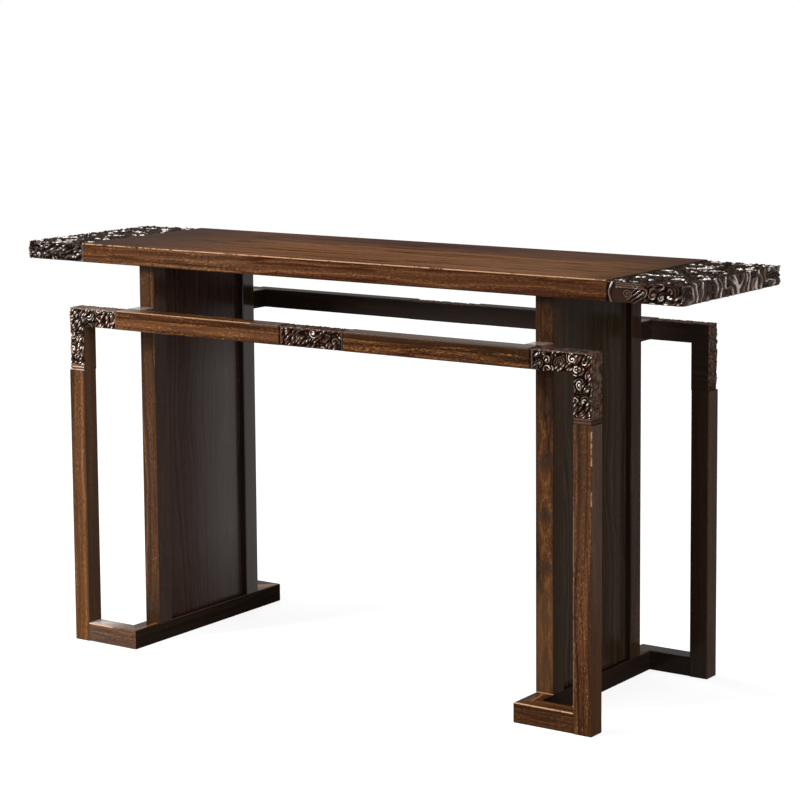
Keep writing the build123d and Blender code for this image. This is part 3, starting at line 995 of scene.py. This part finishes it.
def stile_woods():
    """The woods of the supports' stiles. The front right one shows an arched figure."""
    left_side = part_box("front_stile_left")[1].x
    stile_middle = (RIGHT_STILE[0].x + RIGHT_STILE[1].x) / 2
    # Painted shade: the stiles' sides, and the rear stiles' faces toward the panel
    side_shade = ("X", 0.85, (0.03, 0.018, 0.012))
    inner_shade = ("Y", 0.9, DEEP_SHADE, ("Y", STILE_OUTER - 0.008, STILE_INNER + 0.008))
    return {
        "front_stile_left": frame_wood(
            "of front left stile", "Z", 3.0, coat=0.15, coat_ior=1.5, streak=0.45,
            # On the left stile: painted shade all over the front, more at the top under the board and at
            # the foot; the pale arris is partly a painted highlight
            stains=[side_shade, ("Y", 0.36, DULL_SHADE), ("Y", 0.22, DULL_SHADE, ("Z", 0.35, 0.6)),
                    ("Y", 0.65, DULL_SHADE, ("Z", 0.15, 0.05))],
            arrises=[(("X", left_side), ("Y", -STILE_INNER), ("Z", 0.0, 0.6), 0.3, 0.12)]),
        "front_stile_right": frame_wood(
            "of front right stile", "Z", 3.6, coat=0.07, coat_ior=1.5, flecked=0.7,
            arches=(stile_middle, 0.1, 0.094), contrast=0.75,
            # On the right stile: painted shade at the top under the board and painted light low down; the
            # pale line at the foot is a painted highlight
            stains=[("X", 0.85, (0.034, 0.021, 0.011)), ("Y", 0.55, SHADED, ("Z", 0.45, 0.75)),
                    ("Y", 0.35, (0.17, 0.08, 0.032), ("Z", 0.3, 0.2))],
            arrises=[(("Y", -STILE_OUTER), ("Z", FOOT_TOP), ("X", 0.0, 1.0), 0.0, 0.8)]),
        "rear_stile_left": frame_wood("of rear left stile", "Z", 3.0, coat=0.65, coat_ior=1.5,
                                      stains=[side_shade, inner_shade]),
        "rear_stile_right": frame_wood("of rear right stile", "Z", 3.6, coat=0.1, coat_ior=1.5,
                                       stains=[side_shade, inner_shade]),
    }


def board_woods():
    """The woods of the top's board and of the supports' panels."""
    panel = {"bands": 260.0, "streak": 0.2, "flecked": 0.4, "seed": 9.0}
    return {
        "top_board": rosewood(
            "tabletop wood", "X", deep=(0.025, 0.0105, 0.005), middle=(0.094, 0.043, 0.021),
            pale=(0.28, 0.13, 0.046), bands=80.0, seed=7.0, gloss=0.5, flecked=1.2,
            coat=1.0, coat_runs=[("X", -0.65, -0.1, 0.04, 0.0)], calm_top=0.75,
            # Painted dark reflections on the top toward both ends and at the rear left, painted shade on
            # the front toward the right, and a slightly paler top toward the right; the ruddy and golden
            # tints on the front are the wood's tone; the pale arrises are partly painted highlights
            stains=[("Z", 0.88, (0.026, 0.016, 0.013), ("X", -0.15, -0.66)),
                    ("Z", 0.7, (0.024, 0.014, 0.01), ("X", 0.54, 0.67)),
                    ("Z", 0.65, (0.023, 0.016, 0.018), ("Y", 0.0, 0.14), ("X", -0.5, -0.2)),
                    ("Y", 0.25, SHADED, ("X", 0.0, 0.6)),
                    ("Y", 0.3, (0.05, 0.006, 0.0), ("X", -0.35, -0.05)),
                    ("Y", 0.25, (0.065, 0.016, 0.0), ("X", -0.3, -0.5)),
                    ("Z", 0.08, (0.26, 0.16, 0.1), ("X", 0.15, 0.4))],
            arrises=[(("Y", side * TABLETOP[1].y), ("Z", TABLETOP[1].z), ("X", -1.0, 1.0), 0.36, 0.5)
                     for side in (-1, 1)]),
        "support_panel_left": rosewood(
            "left panel wood", "Z", deep=(0.018, 0.0085, 0.0055), middle=(0.041, 0.02, 0.014),
            pale=(0.066, 0.037, 0.028), **panel, coat=1.0,
            coat_runs=[("Y", -0.06, 0.08, 0.16, 0.66), ("Z", 0.55, 0.72, 1.0, 0.15),
                       ("Z", 0.04, 0.2, 0.55, 1.0)],
            coat_ior=1.5, coat_roughness=0.25),
        "support_panel_right": rosewood(
            "right panel wood", "Z", deep=(0.014, 0.008, 0.005), middle=(0.036, 0.022, 0.013),
            pale=(0.06, 0.04, 0.025), **panel, coat=0.3, coat_roughness=0.2),
    }


def finish_timbers():
    """Each plain piece gets wood whose grain runs along it: the first whose key is in its name."""
    woods = {**board_woods(), **rail_woods(), **post_woods(), **foot_woods(), **stile_woods()}
    for name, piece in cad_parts.items():
        wood = next((woods[key] for key in woods if key in name), None)
        if wood:
            for slot in piece.material_slots:
                slot.material = wood
    return woods


# ---- The studio ----

WHITE = (1.0, 1.0, 1.0, 1.0)
WARM_WHITE = (1.0, 0.98, 0.96, 1.0)
FLOOR_GREY = (0.3, 0.3, 0.3, 1.0)
FLOOR_HALF = 20

# Each lamp's name, place, target, width, height and watts
LAMPS = (
    ("key lamp", (-2.3, -2.5, 2.3), (-0.2, -0.2, 0.5), 1.1, 0.9, 150.0),
    ("glint lamp", (-2.0, -3.1, 1.6), (0.0, -0.2, 0.6), 0.2, 0.2, 30.0),
    ("strip lamp", (-0.3, -0.3, 2.7), (0.1, -0.1, 0.85), 2.6, 0.35, 60.0),
    ("fill lamp", (4.4, -1.6, 1.6), (0.0, 0.0, 0.5), 2.0, 2.0, 100.0),
)

# The camera's place, its turns in radians, and its lens and shift as shares of the frame's width
CAMERA_PLACE = Vector((2.8568554, -4.0546911, 1.3763189))
YAW, PITCH, ROLL = 0.6067, 0.1156, -0.0076
SENSOR_WIDTH = 36.0
LENS_LENGTH = 2436.5514 / 800.0
SHIFT_DOWN = 125.0 / 800.0


def white_where_seen(tree, seen, unseen):
    """The first shader where the camera, gloss or glass sees it, and the second for all other light."""
    path = node(tree, "ShaderNodeLightPath")
    looked_at = larger(larger(path["Is Camera Ray"], path["Is Glossy Ray"]), path["Is Transmission Ray"])
    return node(tree, "ShaderNodeMixShader", {0: looked_at, 1: unseen, 2: seen})[0]


def surroundings():
    """White where it's seen, and a weak warm light on the table."""
    world = bpy.data.worlds.new("studio white")
    bpy.context.scene.world = world
    world.use_nodes = True
    tree = world.node_tree
    tree.nodes.clear()
    seen = node(tree, "ShaderNodeBackground", {"Color": WHITE, "Strength": 1.0})[0]
    unseen = node(tree, "ShaderNodeBackground", {"Color": WARM_WHITE, "Strength": 0.25})[0]
    node(tree, "ShaderNodeOutputWorld", {0: white_where_seen(tree, seen, unseen)})


def studio_floor():
    """A pale floor that keeps the table's shadow and turns white further away."""
    ground = bpy.data.meshes.new("studio floor")
    corners = [(-1, -1), (1, -1), (1, 1), (-1, 1)]
    ground.from_pydata([(x * FLOOR_HALF, y * FLOOR_HALF, 0) for x, y in corners], [], [(0, 1, 2, 3)])
    floor = placed("studio_floor", ground)
    material, tree = new_finish("studio floor")
    pale = node(tree, "ShaderNodeBsdfDiffuse", {"Color": FLOOR_GREY})[0]
    away = length(node(tree, "ShaderNodeTexCoord")["Object"])
    brightness = 0.85 + between(away, 1.0, 4.5) * 0.1
    glow = node(tree, "ShaderNodeEmission", {"Color": WHITE, "Strength": brightness})[0]
    lit = node(tree, "ShaderNodeAddShader", {0: pale, 1: glow})[0]
    node(tree, "ShaderNodeOutputMaterial", {0: white_where_seen(tree, lit, pale)})
    ground.materials.append(material)


def lamp(name, place, target, width, height, watts):
    """A soft rectangular lamp turned to its target."""
    light = bpy.data.lights.new(name, "AREA")
    light.shape = "RECTANGLE"
    light.size = width
    light.size_y = height
    light.energy = watts
    piece = placed(name, light)
    piece.visible_camera = False
    piece.location = place
    piece.rotation_euler = (Vector(target) - Vector(place)).to_track_quat("-Z", "Y").to_euler()


def camera():
    """The camera, a long lens from the right of the table's front, with the view shifted down."""
    level = Vector((math.cos(YAW), math.sin(YAW), 0.0))
    forward = Vector((-math.sin(YAW) * math.cos(PITCH), math.cos(YAW) * math.cos(PITCH),
                      -math.sin(PITCH)))
    upward = level.cross(forward)
    right = level * math.cos(ROLL) + upward * math.sin(ROLL)
    above = upward * math.cos(ROLL) - level * math.sin(ROLL)
    lens = bpy.data.cameras.new("camera")
    lens.sensor_width = SENSOR_WIDTH
    lens.lens = LENS_LENGTH * SENSOR_WIDTH
    lens.shift_y = -SHIFT_DOWN
    lens.clip_end = 100.0
    view = placed("camera", lens)
    turn = Matrix((right, above, -forward)).transposed().to_4x4()
    view.matrix_world = Matrix.Translation(CAMERA_PLACE) @ turn
    bpy.context.scene.camera = view
    bpy.context.scene.view_settings.view_transform = "Standard"


camera()
surroundings()
studio_floor()
for values in LAMPS:
    lamp(*values)
carve_all(carved_finishes(), finish_timbers())

bpy.context.view_layer.update()
